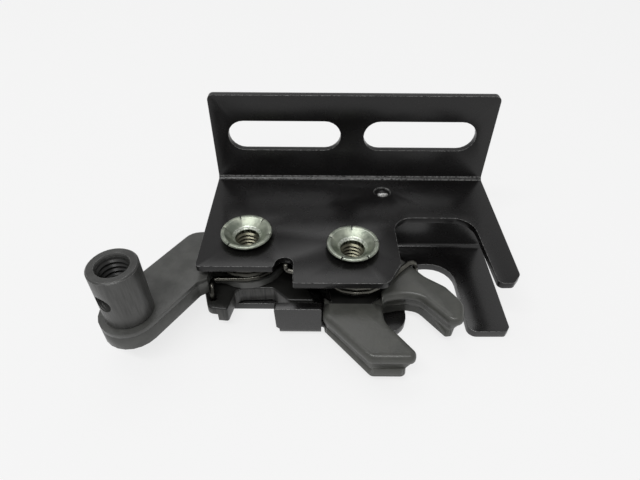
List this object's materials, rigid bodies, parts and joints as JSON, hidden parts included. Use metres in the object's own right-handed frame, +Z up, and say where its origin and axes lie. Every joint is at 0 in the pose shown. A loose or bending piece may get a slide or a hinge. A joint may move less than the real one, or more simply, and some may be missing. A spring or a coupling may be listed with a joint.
{
  "type": "rotary latch",
  "caption": "Rotary latch: two stamped plates with a slotted mounting flange, a fork rotor that grips a striker bar, a sprung pawl and a trip lever with a threaded boss.",
  "frame": {"origin": "on the back face of the mounting flange, midway between its two slots and at their centre height", "axes": "+X along the flange, towards the striker side; +Y out of the flange's back face; +Z up, from the case towards the flange's free edge"},
  "size_m": [0.1049, 0.0644, 0.0455],
  "materials": {
    "black_coat": "satin black electrophoretic coat on stamped steel",
    "dark_coat": "dark phosphate and oil on steel",
    "zinc": "turned steel, yellow-tinged zinc plate",
    "spring_wire": "plated spring wire",
    "black_nylon": "moulded, satin"
  },
  "bodies": {
    "case": {"top_plate": "black_coat", "bottom_plate": "black_coat", "bushing_left": "zinc", "bushing_right": "zinc"},
    "rotor": {"rotor_core": "dark_coat", "rotor_cover": "black_nylon", "rotor_spring": "spring_wire"},
    "lever": {"lever_arm": "dark_coat", "lever_boss": "dark_coat"},
    "pawl": {"pawl": "dark_coat", "pawl_spring": "spring_wire"}
  },
  "joints": [
    {"name": "rotor_pivot", "type": "hinge", "parent": "case", "child": "rotor", "pos_m": [-0.0006, -0.0343, -0.026], "axis": [0, 0, 1], "range_deg": [0, 52], "stiffness_Nm_per_rad": 0.05, "springref_deg": -51.57, "deforming": ["rotor_spring"]},
    {"name": "lever_pivot", "type": "hinge", "parent": "case", "child": "lever", "pos_m": [-0.0294, -0.03, -0.022], "axis": [0, 0, 1], "range_deg": [-9, 9], "stiffness_Nm_per_rad": 0.04},
    {"name": "pawl_pivot", "type": "hinge", "parent": "case", "child": "pawl", "pos_m": [-0.0294, -0.03, -0.0276], "axis": [0, 0, 1], "range_deg": [-9, 9], "deforming": ["pawl_spring"]}
  ],
  "couplings": [
    {"joint": "pawl_pivot", "follows": "lever_pivot", "ratio": 1}
  ]
}
